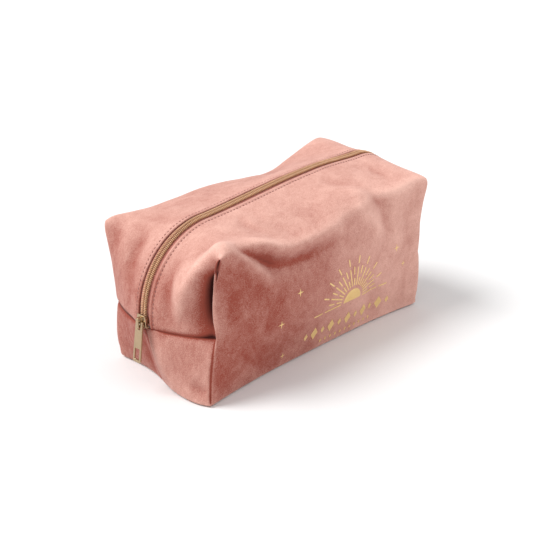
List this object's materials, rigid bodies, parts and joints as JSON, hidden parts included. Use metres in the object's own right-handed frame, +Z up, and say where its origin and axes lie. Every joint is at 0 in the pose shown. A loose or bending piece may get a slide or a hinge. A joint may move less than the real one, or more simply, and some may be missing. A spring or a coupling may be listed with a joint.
{
  "type": "makeup bag",
  "caption": "Boxed velvet makeup bag: a zip runs up one end, over the top and down the other, with a slider and swinging puller, foam walls and a lined compartment.",
  "frame": {"origin": "middle of the base, where the bag rests", "axes": "+X along the bag from the end where the slider rests to the far end, -Y out of the printed front wall, +Z up"},
  "size_m": [0.2646, 0.1041, 0.1221],
  "materials": {
    "velvet": "short pile velvet, soft sheen",
    "foam": "open cell wadding",
    "lining": "plain weave, satin",
    "zip_tape": "woven tape, matt",
    "zip_coil": "moulded nylon, semi gloss",
    "binding": "plain weave binding",
    "thread": "spun thread",
    "foil": "hot stamped foil, satin",
    "gold_metal": "light gold plate, polished"
  },
  "bodies": {
    "bag": {"outer_front_panel": "velvet", "outer_back_panel": "velvet", "foam_front": "foam", "foam_back": "foam", "lining_front": "lining", "lining_back": "lining", "zip_tape_front": "zip_tape", "zip_tape_back": "zip_tape", "zip_coil_front": "zip_coil", "zip_coil_back": "zip_coil", "end_seam_binding_pull": "binding", "end_seam_binding_far": "binding", "bottom_seam_binding": "binding", "corner_binding_pull_front": "binding", "corner_binding_pull_back": "binding", "corner_binding_far_front": "binding", "corner_binding_far_back": "binding", "topstitch_front": "thread", "topstitch_back": "thread", "foil_print": "foil"},
    "mouth_front": {"mouth_velvet_front": "velvet", "mouth_foam_front": "foam", "mouth_lining_front": "lining", "mouth_tape_front": "zip_tape", "mouth_coil_front": "zip_coil", "mouth_topstitch_front": "thread"},
    "mouth_back": {"mouth_velvet_back": "velvet", "mouth_foam_back": "foam", "mouth_lining_back": "lining", "mouth_tape_back": "zip_tape", "mouth_coil_back": "zip_coil", "mouth_topstitch_back": "thread"},
    "slider": {"slider_body": "gold_metal", "slider_bail": "gold_metal"},
    "puller": {"puller": "gold_metal"}
  },
  "joints": [
    {"name": "slider_travel", "type": "hinge", "parent": "bag", "child": "slider", "pos_m": [-0.07, 0, 0.055], "axis": [0, 1, 0], "range_deg": [0, 84]},
    {"name": "puller_swing", "type": "hinge", "parent": "slider", "child": "puller", "pos_m": [-0.13129, 0, 0.05232], "axis": [0, 1, 0], "range_deg": [0, 160]},
    {"name": "mouth_front_open", "type": "hinge", "parent": "bag", "child": "mouth_front", "pos_m": [-0.07301, -0.047, 0.11242], "axis": [0.9986, 0, 0.0523], "range_deg": [0, 80]},
    {"name": "mouth_back_open", "type": "hinge", "parent": "bag", "child": "mouth_back", "pos_m": [-0.07301, 0.047, 0.11242], "axis": [-0.9986, 0, -0.0523], "range_deg": [0, 80]}
  ]
}
